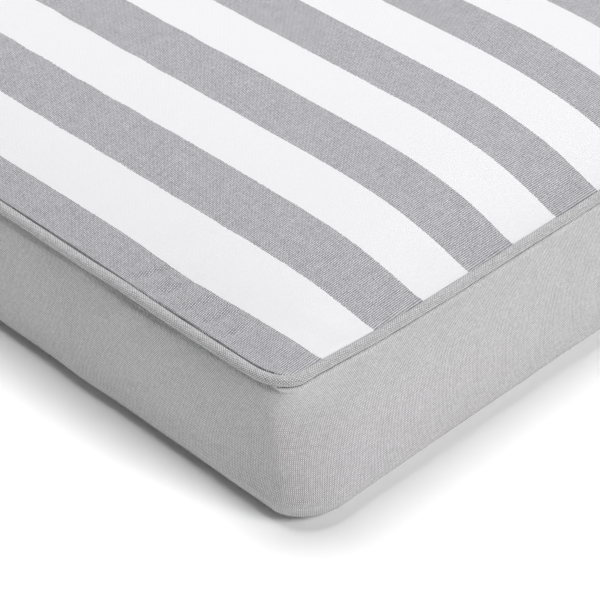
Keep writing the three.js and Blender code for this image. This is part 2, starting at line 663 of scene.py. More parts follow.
def spline_sample(table: Array, row: Array, column: Array, round_columns: bool = False) -> Array:
    """Reads a table of vectors smoothly between its entries.

    Args:
        table: Vectors, with rows and columns in the first two axes.
        row: Rows to read, as fractions.
        column: Columns to read, as fractions.
        round_columns: Whether the last column is next to the first one.

    Returns:
        One vector for each place.
    """
    rows, columns = table.shape[:2]

    def weights(part: Array) -> list[Array]:
        """Cubic spline weights of the four nearest entries.

        Args:
            part: How far each place lies past the second entry, from 0 to 1.

        Returns:
            Four weights, which add up to one.
        """
        return [
            (1 - part) ** 3 / 6,
            (3 * part**3 - 6 * part**2 + 4) / 6,
            (-3 * part**3 + 3 * part**2 + 3 * part + 1) / 6,
            part**3 / 6,
        ]

    first_row, first_column = np.floor(row).astype(int), np.floor(column).astype(int)
    total = np.zeros(np.shape(row) + table.shape[2:])
    for step_row, weight_row in enumerate(weights(row - first_row)):
        at_row = np.clip(first_row + step_row - 1, 0, rows - 1)
        for step_column, weight_column in enumerate(weights(column - first_column)):
            at_column = first_column + step_column - 1
            if round_columns:
                at_column = at_column % columns
            else:
                at_column = np.clip(at_column, 0, columns - 1)
            total += table[at_row, at_column] * (weight_row * weight_column)[..., None]
    return total


def blurred(table: Array, spread: float, round_columns: bool = False) -> Array:
    """Smooths a table of vectors along both of its directions.

    Args:
        table: Vectors, with rows and columns in the first two axes.
        spread: How many entries the smoothing spreads over.
        round_columns: Whether the last column is next to the first one.

    Returns:
        The smoothed table.
    """
    for axis, around in ((0, False), (1, round_columns)):
        count = table.shape[axis]
        apart = np.abs(np.subtract.outer(np.arange(count), np.arange(count)))
        if around:
            apart = np.minimum(apart, count - apart)
        mix = np.exp(-0.5 * (apart / spread) ** 2)
        mix /= mix.sum(1, keepdims=True)
        table = np.moveaxis(np.tensordot(mix, table, (1, axis)), 0, axis)
    return table


@dataclass
class Swell:
    """What the filling does to the cloth, in millimetres, as tables over the top and the boxing.

    Attributes:
        top: Moves over the top, with rows along X and columns along Y.
        boxing: Moves over the boxing, with rows downwards and columns round it.
        half: From the middle of the top to the end of its table.
    """

    top: Array
    boxing: Array
    half: float

    def on_top(self, plan: Array) -> Array:
        """Moves for places on the top, given in plan.

        Args:
            plan: The places, with X and Y in the last axis.

        Returns:
            One move for each place.
        """
        last = self.top.shape[0] - 1
        at = (np.clip(plan / self.half, -1, 1) + 1) / 2 * last
        return spline_sample(self.top, at[..., 0], at[..., 1])

    def on_boxing(self, down: Array, around: Array) -> Array:
        """Moves for places on the boxing, as shares of its height and of the way round.

        Args:
            down: Shares of the way down.
            around: Shares of the way round.

        Returns:
            One move for each place.
        """
        rows, columns = self.boxing.shape[:2]
        row = np.clip(down, 0, 1) * (rows - 1)
        return spline_sample(self.boxing, row, around * columns, True)


@dataclass(frozen=True)
class Filling:
    """The filling's push on the cushion's skin, found with a cloth simulation.

    The skin is sewn down along its seams and pushed outwards from a cloth that is a little too
    large for its place, which wrinkles it. The broad swell is already in the form, so it is taken
    out again.

    Attributes:
        lattice: Grid of the simulated top.
        rows: Rings of the simulated boxing.
        pressure: The push of the filling.
        ease: Share by which the cloth is too large.
        stiffness: How hard the cloth is to bend.
        frames: How long the simulation runs.
        broad: Entries over which a move counts as broad swell.
        gain: Share of the wrinkles that is kept.
        cap: The most that the cloth may move.
    """

    lattice: Lattice = Lattice(82, 4)
    rows: int = 18
    pressure: float = 4.0
    ease: float = 0.012
    stiffness: float = 0.3
    frames: int = 20
    broad: float = 5.0
    gain: float = 0.5
    cap: float = 0.8

    def swell(self, form: Form) -> Swell:
        """Runs the simulation and returns the wrinkles that it leaves.

        Args:
            form: The cushion's smooth surfaces.
        """
        plan, lattice = form.plan, self.lattice
        side = lattice.cells + 1
        flat = plan.drawn(lattice.spread(plan.seam, plan.seam, plan.corner))
        shrink = plan.edge / plan.seam
        height = form.face_level + form.crown(flat[..., 0] * shrink, flat[..., 1] * shrink)
        top = np.concatenate([flat, height[..., None]], -1).reshape(-1, 3)
        rings = [form.boxing(lattice, share) for share in np.linspace(0, 1, self.rows + 1)[1:]]
        start = np.concatenate([top, *rings])
        moved = self._simulated(start, self._faces(len(top)))
        moves = moved - start
        over_top = moves[: len(top)].reshape(side, side, 3)
        over_boxing = np.concatenate(
            [moves[lattice.rim()][None], moves[len(top) :].reshape(self.rows, -1, 3)]
        )
        return Swell(
            self._wrinkles(over_top, False), self._wrinkles(over_boxing, True), plan.seam
        )

    def _faces(self, top_count: int) -> Array:
        """Squares of the simulated skin: the top's grid, and the rings below its rim.

        Args:
            top_count: How many points the top has.

        Returns:
            Four point numbers for each square.
        """
        side = self.lattice.cells + 1
        faces = [grid_faces(side, side)]
        columns = 4 * self.lattice.cells
        rows = [self.lattice.rim()]
        rows += [top_count + ring * columns + np.arange(columns) for ring in range(self.rows)]
        faces += [ring_faces(upper, lower) for upper, lower in zip(rows, rows[1:])]
        return np.concatenate(faces)

    def _simulated(self, start: Array, faces: Array) -> Array:
        """The skin after the simulation, in millimetres.

        Args:
            start: Its points before the simulation.
            faces: Its squares.

        Returns:
            Its points after the simulation.
        """
        mesh = bpy.data.meshes.new("skin")
        mesh.from_pydata((start * MM).tolist(), [], faces.tolist())
        skin = linked("skin", mesh)
        sewn = skin.vertex_groups.new(name="sewn")
        columns = 4 * self.lattice.cells
        bottom = range(len(start) - columns, len(start))
        sewn.add([*self.lattice.rim().tolist(), *bottom], 1.0, "REPLACE")
        cloth = skin.modifiers.new("filling", "CLOTH")
        cloth.settings.vertex_group_mass = sewn.name
        cloth.settings.use_pressure = True
        cloth.settings.uniform_pressure_force = self.pressure
        cloth.settings.shrink_min = -self.ease
        cloth.settings.effector_weights.gravity = 0.0
        cloth.settings.bending_stiffness = self.stiffness
        cloth.collision_settings.use_collision = False
        cloth.collision_settings.use_self_collision = False
        scene = bpy.context.scene
        for number in range(1, self.frames + 1):
            scene.frame_set(number)
        shown = skin.evaluated_get(bpy.context.evaluated_depsgraph_get())
        moved = np.empty(len(start) * 3)
        shown.data.vertices.foreach_get("co", moved)
        scene.frame_set(1)
        bpy.data.objects.remove(skin)
        bpy.data.meshes.remove(mesh)
        return moved.reshape(-1, 3) / MM

    def _wrinkles(self, moves: Array, around: bool) -> Array:
        """The moves without their broad swell, no greater than the cap.

        Args:
            moves: A table of moves.
            around: Whether the last column is next to the first one.

        Returns:
            The table of wrinkles.
        """
        fine = (moves - blurred(moves, self.broad, around)) * self.gain
        size = np.linalg.norm(fine, axis=-1, keepdims=True)
        return fine * (self.cap * np.tanh(size / self.cap) / np.maximum(size, TINY))


# ---------------------------------------------------------------- meshes


def grid_faces(rows: int, columns: int) -> Array:
    """Squares of a grid whose rows run along X, facing up.

    Args:
        rows: How many rows of points there are.
        columns: How many points a row has.

    Returns:
        Four point numbers for each square.
    """
    index = np.arange(rows * columns).reshape(rows, columns)
    corners = index[:-1, :-1], index[1:, :-1], index[1:, 1:], index[:-1, 1:]
    return np.stack([corner.ravel() for corner in corners], 1)


def ring_faces(upper: Array, lower: Array) -> Array:
    """Squares between two counter-clockwise rings, facing outwards where the first is above."""
    return np.stack([upper, lower, np.roll(lower, -1), np.roll(upper, -1)], 1)


@dataclass
class Shell:
    """A closed mesh that grows row by row, with the place of each point in the flat cloth.

    Attributes:
        points: Points in millimetres, part by part.
        places: Places in the flat cloth in millimetres, part by part.
        faces: Faces by point number, part by part.
        count: How many points there are.
        last: Point numbers of the row that was added last.
    """

    points: list[Array] = field(default_factory=list)
    places: list[Array] = field(default_factory=list)
    faces: list[list[int]] = field(default_factory=list)
    count: int = 0
    last: Array | None = None

    def add_points(self, points: Array, places: Array) -> Array:
        """Adds points with their places in the cloth, and returns their numbers.

        Args:
            points: Points in millimetres.
            places: Their places in the flat cloth.

        Returns:
            The points' numbers.
        """
        self.points.append(points.reshape(-1, 3))
        self.places.append(places.reshape(-1, 2))
        numbers = np.arange(self.count, self.count + len(self.points[-1]))
        self.count += len(numbers)
        return numbers

    def add_spread(self, lattice: Lattice, points: Array, places: Array, upwards: bool) -> None:
        """Adds a lattice's whole grid, facing up or down, and leaves its rim as the last row.

        Args:
            lattice: The lattice.
            points: Points for all of its crossings.
            places: Their places in the flat cloth.
            upwards: Whether the grid faces up.
        """
        numbers = self.add_points(points, places)
        side = lattice.cells + 1
        faces = grid_faces(side, side) + numbers[0]
        self.faces += (faces if upwards else faces[:, ::-1]).tolist()
        self.last = numbers[lattice.rim()]

    def close_spread(self, lattice: Lattice, points: Array, places: Array) -> None:
        """Closes the last row with a lattice's whole grid, which faces down and shares its rim.

        Args:
            lattice: The lattice.
            points: Points for all of its crossings.
            places: Their places in the flat cloth.
        """
        numbers = self.add_points(points, places)
        joined = np.arange(self.count)
        joined[numbers[lattice.rim()]] = self.last
        side = lattice.cells + 1
        self.faces += joined[grid_faces(side, side) + numbers[0]][:, ::-1].tolist()

    def add_ring(self, points: Array, places: Array) -> None:
        """Adds one ring below or inside the last row and joins the two.

        Args:
            points: Points of the ring, counter-clockwise.
            places: Their places in the flat cloth.
        """
        numbers = self.add_points(points, places)
        if self.last is not None:
            self.faces += ring_faces(self.last, numbers).tolist()
        self.last = numbers

    def add_tip(self, point: Array, place: Array, first: bool = False) -> None:
        """Closes the last row with one point, from below or from above.

        Args:
            point: The point.
            place: Its place in the flat cloth.
            first: Whether it lies above the row, as at the shell's start.
        """
        ring = self.last
        number = int(self.add_points(np.asarray(point), np.asarray(place))[0])
        after = np.roll(ring, -1)
        for one, two in zip(ring.tolist(), after.tolist()):
            self.faces.append([number, one, two] if first else [number, two, one])

    def object(self, name: str, period: float = 0.0) -> bpy.types.Object:
        """Makes a smooth mesh object at the origin, with the cloth map in metres.

        Args:
            name: The piece's name.
            period: The cloth's length round a closed strip, or zero where it isn't one.

        Returns:
            The linked object.
        """
        mesh = bpy.data.meshes.new(name)
        mesh.from_pydata((np.concatenate(self.points) * MM).tolist(), [], self.faces)
        mesh.validate()
        lay_cloth(mesh, np.concatenate(self.places), (period, 0.0))
        return linked(name, mesh)


def linked(name: str, content: bpy.types.ID) -> bpy.types.Object:
    """An object at the origin that holds a mesh, a light or a camera.

    Args:
        name: The object's name.
        content: What it holds.

    Returns:
        The object, linked to the scene.
    """
    made = bpy.data.objects.new(name, content)
    bpy.context.scene.collection.objects.link(made)
    return made


def lay_cloth(mesh: bpy.types.Mesh, places: Array, periods: Pair) -> None:
    """Writes the cloth map in metres, and smooths the mesh.

    Args:
        mesh: The mesh.
        places: Its points' places in the flat cloth, in millimetres.
        periods: The cloth's length in each direction in which its ends meet, or zero.
    """
    corners = np.empty(len(mesh.loops), int)
    mesh.loops.foreach_get("vertex_index", corners)
    flat = places[corners].astype(float)
    starts, totals = np.empty(len(mesh.polygons), int), np.empty(len(mesh.polygons), int)
    mesh.polygons.foreach_get("loop_start", starts)
    mesh.polygons.foreach_get("loop_total", totals)
    for column, period in enumerate(periods):
        if period:
            most = np.repeat(np.maximum.reduceat(flat[:, column], starts), totals)
            flat[most - flat[:, column] > period / 2, column] += period
    cloth = mesh.uv_layers.new(name=CLOTH_MAP)
    cloth.data.foreach_set("uv", (flat * MM).ravel())
    mesh.polygons.foreach_set("use_smooth", np.ones(len(mesh.polygons), bool))
    mesh.set_sharp_from_angle(angle=SHARP_ANGLE)



# ---------------------------------------------------------------- finishes


class Wiring:
    """Lays and joins the nodes of one tree.

    Attributes:
        tree: The node tree.
    """

    def __init__(self, tree: bpy.types.NodeTree) -> None:
        """Starts on a tree, emptied first."""
        self.tree = tree
        tree.nodes.clear()

    def add(self, kind: str, inputs: dict | None = None, **settings: object) -> bpy.types.Node:
        """Adds a node.

        Args:
            kind: The node's type.
            inputs: Values or sockets for its inputs, by name or number.
            **settings: The node's own settings.

        Returns:
            The node.
        """
        node = self.tree.nodes.new(kind)
        for name, setting in settings.items():
            setattr(node, name, setting)
        for key, value in (inputs or {}).items():
            if isinstance(value, bpy.types.NodeSocket):
                self.tree.links.new(value, node.inputs[key])
            else:
                node.inputs[key].default_value = value
        return node

    def math(self, operation: str, *values: object) -> bpy.types.NodeSocket:
        """One sum on sockets or numbers."""
        node = self.add("ShaderNodeMath", dict(enumerate(values)), operation=operation)
        return node.outputs[0]

    def noise(self, across: object, along: object, detail: float) -> bpy.types.NodeSocket:
        """Smooth noise round zero, over two directions that are already scaled to its grain.

        Args:
            across: The first direction.
            along: The second direction.
            detail: How much finer noise is laid over it.

        Returns:
            The noise's socket.
        """
        place = self.add("ShaderNodeCombineXYZ", {0: across, 1: along})
        grain = self.add(
            "ShaderNodeTexNoise",
            {"Vector": place.outputs[0], "Scale": 1.0, "Detail": detail, "Roughness": 0.5},
            noise_dimensions="2D",
        )
        return self.math("SUBTRACT", grain.outputs[0], 0.5)

    def mixed(self, share: object, one: object, two: object) -> bpy.types.NodeSocket:
        """A colour between two colours."""
        inputs = {MIX_SHARE: share, MIX_ONE: one, MIX_TWO: two}
        return self.add("ShaderNodeMix", inputs, data_type="RGBA").outputs[2]


@dataclass(frozen=True)
class Weave:
    """A plain weave, laid on the cloth map.

    Attributes:
        warp: Distance between the threads that run along the cloth's second direction.
        weft: Distance between the threads that run across it.
        turn: Degrees that the weave is turned on the cloth map, as for cloth cut on the bias.
        wander: How far the threads stray from straight, in thread distances.
        slub: Length of the thick and thin places of a thread.
        ribs: Shares of the relief in the warp's lines, in the weft's lines and in their crossings.
        warp_stray: How far apart the strays of the warp's threads are, across and along them.
        weft_stray: The same for the weft, along and across its threads.
        mottle: Size of the cloth's mottling, both ways.
    """

    warp: float = 0.9
    weft: float = 0.95
    turn: float = 0.0
    wander: float = 0.15
    slub: float = 14.0
    ribs: tuple[float, float, float] = (0.25, 0.1, 0.65)
    warp_stray: Pair = (9.0, 22.0)
    weft_stray: Pair = (23.0, 8.0)
    mottle: Pair = (2.2, 1.6)

    def threads(self, wires: Wiring) -> dict[str, bpy.types.NodeSocket]:
        """Lays the weave.

        Args:
            wires: The material's nodes.

        Returns:
            Sockets: across and along in millimetres, the relief from -1 to 1, and the slubs, the
            mottle and the specks round zero.
        """
        cloth = wires.add("ShaderNodeUVMap", uv_map=CLOTH_MAP)
        scaled = wires.add(
            "ShaderNodeMapping",
            {"Vector": cloth.outputs[0], "Scale": (1 / MM, 1 / MM, 1.0)},
        )
        split = wires.add("ShaderNodeSeparateXYZ", {0: scaled.outputs[0]})
        across, along = split.outputs[0], split.outputs[1]
        warp_at, weft_at = across, along
        if self.turn:
            cos, sin = math.cos(math.radians(self.turn)), math.sin(math.radians(self.turn))
            warp_at = wires.math(
                "ADD", wires.math("MULTIPLY", across, cos), wires.math("MULTIPLY", along, sin)
            )
            weft_at = wires.math(
                "SUBTRACT", wires.math("MULTIPLY", along, cos), wires.math("MULTIPLY", across, sin)
            )

        def grain(size: Pair, detail: float) -> bpy.types.NodeSocket:
            """Noise of a size along the warp's and the weft's distances.

            Args:
                size: The size, both ways.
                detail: How much finer noise is laid over it.

            Returns:
                The noise's socket.
            """
            return wires.noise(
                wires.math("DIVIDE", warp_at, size[0]),
                wires.math("DIVIDE", weft_at, size[1]),
                detail,
            )

        waves, phases = [], []
        for at, distance, stray in (
            (warp_at, self.warp, grain(self.warp_stray, 2.0)),
            (weft_at, self.weft, grain(self.weft_stray, 2.0)),
        ):
            phase = wires.math(
                "ADD",
                wires.math("MULTIPLY", at, 2 * math.pi / distance),
                wires.math("MULTIPLY", stray, 2 * math.pi * self.wander),
            )
            phases.append(phase)
            waves.append(wires.math("COSINE", phase))
        crossing = wires.math("MULTIPLY", waves[0], waves[1])
        relief = wires.math("MULTIPLY", crossing, self.ribs[2])
        for wave, share in zip(waves, self.ribs):
            relief = wires.math("MULTIPLY_ADD", wave, share, relief)
        return {
            "across": across,
            "along": along,
            "relief": relief,
            "slub_warp": grain((self.warp, self.slub), 1.0),
            "slub_weft": grain((self.slub, self.weft), 1.0),
            "mottle": grain(self.mottle, 3.0),
            "specks": self.specks(wires, phases),
        }

    def specks(self, wires: Wiring, phases: Sequence[bpy.types.NodeSocket]) -> bpy.types.NodeSocket:
        """One tone round zero for each crossing of two threads.

        Args:
            wires: The material's nodes.
            phases: How far on the waves of the warp and of the weft are.

        Returns:
            The tone's socket.
        """
        turns = [
            wires.math("FLOOR", wires.math("DIVIDE", phase, 2 * math.pi)) for phase in phases
        ]
        place = wires.add("ShaderNodeCombineXYZ", {0: turns[0], 1: turns[1]})
        random = wires.add(
            "ShaderNodeTexWhiteNoise", {"Vector": place.outputs[0]}, noise_dimensions="2D"
        )
        return wires.math("SUBTRACT", random.outputs[0], 0.5)


@dataclass(frozen=True)
class Canvas:
    """Plain canvas in one colour with lighter threads in it.

    Attributes:
        name: The material's name.
        colour: The cloth's own colour, seen from far off.
        weave: Its weave.
        contrast: Share by which the weave's threads and hollows differ from the colour.
        specks: Contrast between one crossing and the next, as a share of the weave's contrast.
        streaks: Share by which slubs differ from the colour.
        mottling: Strength of the mottling beside the slubs.
        darkest: The darkest that any place gets, as a share of the colour.
        relief: Height of the weave.
        roughness: Roughness of the surface.
        specular: Strength of its gloss.
        sheen: Share of sheen from loose fibres.
        sheen_roughness: Roughness of that sheen.
    """

    name: str
    colour: Colour
    weave: Weave = Weave()
    contrast: float = 1.15
    specks: float = 0.15
    streaks: float = 0.12
    mottling: float = 0.4
    darkest: float = 0.1
    relief: float = 0.16
    roughness: float = 0.92
    specular: float = 0.2
    sheen: float = 0.12
    sheen_roughness: float = 0.5

    def material(self) -> bpy.types.Material:
        """Makes the material.

        Returns:
            The material.
        """
        made = bpy.data.materials.new(self.name)
        made.use_nodes = True
        wires = Wiring(made.node_tree)
        threads = self.weave.threads(wires)
        tone, relief = self.tone(wires, threads)
        bump = wires.add(
            "ShaderNodeBump", {"Height": relief, "Distance": self.relief * MM, "Strength": 1.0}
        )
        shader = wires.add(
            "ShaderNodeBsdfPrincipled",
            {
                "Base Color": tone,
                "Roughness": self.roughness,
                "Specular IOR Level": self.specular,
                "Sheen Weight": self.sheen,
                "Sheen Roughness": self.sheen_roughness,
                "Normal": bump.outputs[0],
            },
        )
        wires.add("ShaderNodeOutputMaterial", {"Surface": shader.outputs[0]})
        return made

    def tone(
        self, wires: Wiring, threads: dict[str, bpy.types.NodeSocket]
    ) -> tuple[bpy.types.NodeSocket, bpy.types.NodeSocket]:
        """Colour and relief of the cloth.

        Args:
            wires: The material's nodes.
            threads: The weave's sockets.

        Returns:
            The colour's socket and the relief's.
        """
        shade = self.shade(wires, threads, self.contrast, self.streaks)
        return self.tinted(wires, self.colour, shade), threads["relief"]

    def shade(
        self,
        wires: Wiring,
        threads: dict[str, bpy.types.NodeSocket],
        contrast: float,
        streaks: float,
    ) -> bpy.types.NodeSocket:
        """The share by which each place is lighter or darker than the cloth's colour, round one.

        Args:
            wires: The material's nodes.
            threads: The weave's sockets.
            contrast: Share by which threads and hollows differ.
            streaks: Share by which slubs differ.

        Returns:
            The share's socket.
        """
        uneven = wires.math("ADD", threads["slub_warp"], threads["slub_weft"])
        uneven = wires.math("ADD", uneven, wires.math("MULTIPLY", threads["mottle"], self.mottling))
        total = wires.math("MULTIPLY_ADD", threads["relief"], contrast, 1.0)
        total = wires.math("MULTIPLY_ADD", threads["specks"], self.specks * contrast, total)
        total = wires.math("MULTIPLY_ADD", uneven, streaks, total)
        return wires.math("MAXIMUM", total, self.darkest)

    def tinted(
        self, wires: Wiring, colour: Colour, shade: bpy.types.NodeSocket
    ) -> bpy.types.NodeSocket:
        """A colour times a shade.

        Args:
            wires: The material's nodes.
            colour: The colour.
            shade: The shade's socket.

        Returns:
            The product's socket.
        """
        grey = wires.add("ShaderNodeCombineColor", {0: shade, 1: shade, 2: shade})
        node = wires.add(
            "ShaderNodeMix",
            {MIX_SHARE: 1.0, MIX_ONE: (*colour, 1.0), MIX_TWO: grey.outputs[0]},
            data_type="RGBA",
            blend_type="MULTIPLY",
        )
        return node.outputs[2]


@dataclass(frozen=True)
class StripedCotton(Canvas):
    """White and grey striped cotton, with the stripes along the cloth's second direction.

    Attributes:
        white: Colour of the white stripes.
        stripe: Width of one stripe.
        first: How far the first stripe edge lies from the middle.
        fray: How far a stripe's edge strays.
        fray_grain: Size of the strays, across the edge and along it.
        white_contrast: The weave's contrast in a white stripe.
        white_streaks: The slubs' contrast in a white stripe.
        white_flatness: Share of the relief that a white stripe lacks.
    """

    white: Colour = (0.703, 0.698, 0.72)
    stripe: float = 30.0
    first: float = 225.0
    fray: float = 0.45
    fray_grain: Pair = (8.0, 0.9)
    white_contrast: float = 0.02
    white_streaks: float = 0.02
    white_flatness: float = 0.7

    def tone(
        self, wires: Wiring, threads: dict[str, bpy.types.NodeSocket]
    ) -> tuple[bpy.types.NodeSocket, bpy.types.NodeSocket]:
        """Colour and relief of the striped cloth.

        Args:
            wires: The material's nodes.
            threads: The weave's sockets.

        Returns:
            The colour's socket and the relief's.
        """
        frayed = wires.noise(
            wires.math("DIVIDE", threads["across"], self.fray_grain[0]),
            wires.math("DIVIDE", threads["along"], self.fray_grain[1]),
            1.0,
        )
        at = wires.math("MULTIPLY_ADD", frayed, self.fray * 2, threads["across"])
        turns = wires.math(
            "FRACT", wires.math("DIVIDE", wires.math("ADD", at, self.first), 2 * self.stripe)
        )
        white = wires.math(
            "MULTIPLY",
            wires.math("LESS_THAN", turns, 0.5),
            wires.math("LESS_THAN", wires.math("ABSOLUTE", at), self.first),
        )
        grey_tone = self.tinted(
            wires, self.colour, self.shade(wires, threads, self.contrast, self.streaks)
        )
        white_tone = self.tinted(
            wires, self.white, self.shade(wires, threads, self.white_contrast, self.white_streaks)
        )
        flatter = wires.math("MULTIPLY_ADD", white, -self.white_flatness, 1.0)
        relief = wires.math("MULTIPLY", threads["relief"], flatter)
        return wires.mixed(white, grey_tone, white_tone), relief


# ---------------------------------------------------------------- pieces


@dataclass(frozen=True)
class StripeShift:
    """How far the stripes stray to the right in one stretch of the panel.

    Attributes:
        amount: How far they stray at most, and to the left where this is less than zero.
        centre: Where that is: across from the middle, and back from the front seam.
        reach: How far from there it dies out, across and back.
    """

    amount: float
    centre: Pair
    reach: Pair

    def at(self, x: Array, front: Array) -> Array:
        """How far the stripes stray at places across, and back from the front seam.

        Args:
            x: Distances across.
            front: Distances back.

        Returns:
            The shift at each place.
        """
        across = (x - self.centre[0]) / self.reach[0]
        back = (front - self.centre[1]) / self.reach[1]
        return self.amount * np.exp(-(across**2) - back**2)


@dataclass
class StripedTop:
    """The striped panel sewn over the crown.

    Attributes:
        form: The cushion's smooth surfaces.
        swell: The wrinkles that the filling makes.
        finish: The cloth.
        lattice: The face's grid.
        cut: The sheet's flat size in metres.
        puckers: Short creases at the left and right seams.
        front_share: Share of their strength that the ones at the front and back seams have.
        pucker_zone: How far inside a seam the cloth is puckered.
        pucker_end: How far from the ends of a side its puckers stop.
        creases: Longer creases at the left seam, near the near corner.
        ripples: Low waves of the whole face.
        sewn_reach: How far inside the edge the cloth is held down.
        edge_thinning: How much thinner the panel is at its edge.
        shift: How far all the stripes lie off the middle.
        front_shifts: How far they stray at the front seam, each with its reach.
        stripe_shifts: How far they stray elsewhere.
    """

    form: Form
    swell: Swell
    finish: StripedCotton
    lattice: Lattice = Lattice(252, 12, 2.4)
    cut: Pair = (0.500, 0.505)
    puckers: SeamPuckers = SeamPuckers(11, (0.1, 0.45), (3.0, 6.5), (9.0, 30.0), (9.0, 21.0))
    front_share: float = 0.45
    pucker_zone: float = 45.0
    pucker_end: float = 15.0
    creases: tuple[Fold, ...] = (
        Fold((136.0, -5.0), (157.5, 22.5), -1.6, 2.6, 0.45, Fade.BOTH),
        Fold((152.0, -5.0), (172.5, 22.5), -1.3, 2.5, 0.45, Fade.BOTH),
        Fold((170.0, -4.0), (188.0, 22.0), -1.1, 2.4, 0.45, Fade.BOTH),
        Fold((182.0, -5.0), (200.0, 22.5), -1.3, 2.5, 0.45, Fade.BOTH),
        Fold((197.0, -5.0), (212.5, 23.0), -1.1, 2.4, 0.45, Fade.BOTH),
    )
    ripples: Ripples = Ripples(5, 0.045, 120.0, 40.0)
    sewn_reach: float = 3.0
    edge_thinning: float = 0.6
    shift: float = 1.1
    front_shifts: tuple[Pair, ...] = ((-3.2, 40.0), (-2.4, 25.0))
    stripe_shifts: tuple[StripeShift, ...] = (
        StripeShift(2.4, (-225.0, 75.0), (25.0, 35.0)),
        StripeShift(1.8, (30.0, 0.0), (35.0, math.inf)),
    )

    def build(self, carrier: bpy.types.Object) -> bpy.types.Object:
        """Makes the panel.

        Args:
            carrier: The filled body that the panel lies on. It is not used.

        Returns:
            The piece.
        """
        form, plan = self.form, self.form.plan
        square = self.lattice.spread(plan.edge, plan.edge, plan.edge_corner)
        flat = plan.drawn(square)
        face = self.face(flat)
        shell = Shell()
        shell.add_spread(self.lattice, face, self.places(flat), True)
        rim = flat.reshape(-1, 2)[self.lattice.rim()]
        for share in INNER_SHARES:
            shell.add_ring(self.below(rim * share, form.panel), self.places(rim * share))
        middle = np.zeros((1, 2))
        shell.add_tip(self.below(middle, form.panel), middle)
        piece = shell.object("striped_top")
        piece.data.materials.append(self.finish.material())
        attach(piece, "root")
        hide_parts("top_panel")
        return piece

    def face(self, flat: Array) -> Array:
        """The panel's outer face over places in plan, with its puckers, folds and wrinkles.

        Args:
            flat: Places in plan.

        Returns:
            Points of the face.
        """
        x, y = flat[..., 0], flat[..., 1]
        form = self.form
        moved = self.swell.on_top(flat)
        sewn = 1 - np.exp(-((form.inside(x, y) / self.sewn_reach) ** 2))
        height = form.face_level + form.crown(x, y)
        height = height + (self.lift(x, y) + moved[..., 2]) * sewn - form.rolled(x, y)
        return np.stack([x, y + np.sign(y) * form.lapped(x, y), height], -1)

    def below(self, flat: Array, depth: float) -> Array:
        """Points this far below the panel's face, which don't follow its roll into the seam.

        Args:
            flat: Places in plan.
            depth: How far below the face.

        Returns:
            The points.
        """
        x, y = flat[..., 0], flat[..., 1]
        points = self.face(flat)
        points[..., 1] = y
        edge = np.exp(-((self.form.inside(x, y) / self.sewn_reach) ** 2))
        points[..., 2] += self.form.rolled(x, y) - depth - self.edge_thinning * edge
        return points

    def lift(self, x: Array, y: Array) -> Array:
        """How far puckers and ripples move the face at places in plan.

        Args:
            x: Places along X.
            y: Places along Y.

        Returns:
            The move at each place.
        """
        total = self.ripples.lift(x, y)
        edge = self.form.plan.edge
        for side in Side:
            strength = 1.0 if side in (Side.LEFT, Side.RIGHT) else self.front_share
            out, run = side.outward, side.along
            inward = edge - (x * out[0] + y * out[1])
            along = x * run[0] + y * run[1]
            near = inward < self.pucker_zone
            puckers = replace(self.puckers, seed=self.puckers.seed + side.value)
            for fold in puckers.folds(2 * (edge - self.pucker_end)):
                total[near] += strength * fold.lift(along[near], inward[near])
            if side is Side.LEFT:
                for fold in self.creases:
                    total[near] += fold.lift(along[near], inward[near])
        return total

    def places(self, flat: Array) -> Array:
        """Places in the flat cloth: distances over the crown from the middle, both ways.

        Args:
            flat: Places in plan.

        Returns:
            The places in the cloth.
        """
        x, y = flat[..., 0], flat[..., 1]
        across = self.over_crown(x, y, 0) + self.shift
        front = y + self.form.plan.edge
        for amount, reach in self.front_shifts:
            across = across + amount * np.exp(-front / reach)
        for stray in self.stripe_shifts:
            across = across + stray.at(x, front)
        return np.stack([across, self.over_crown(x, y, 1)], -1)

    def over_crown(self, x: Array, y: Array, axis: int, steps: int = 60) -> Array:
        """Distance over the crown from the middle line, along X or along Y.

        Args:
            x: Places along X.
            y: Places along Y.
            axis: Zero for the distance along X, and one along Y.
            steps: How many steps each distance is summed in.

        Returns:
            The distances, less than zero to the left and to the front.
        """
        total = np.zeros(x.shape)
        far = x if axis == 0 else y
        step = far / steps
        for number in range(steps):
            here, there = step * number, step * (number + 1)
            if axis == 0:
                rise = self.form.crown(there, y) - self.form.crown(here, y)
            else:
                rise = self.form.crown(x, there) - self.form.crown(x, here)
            total += np.sign(far) * np.hypot(step, rise)
        return total


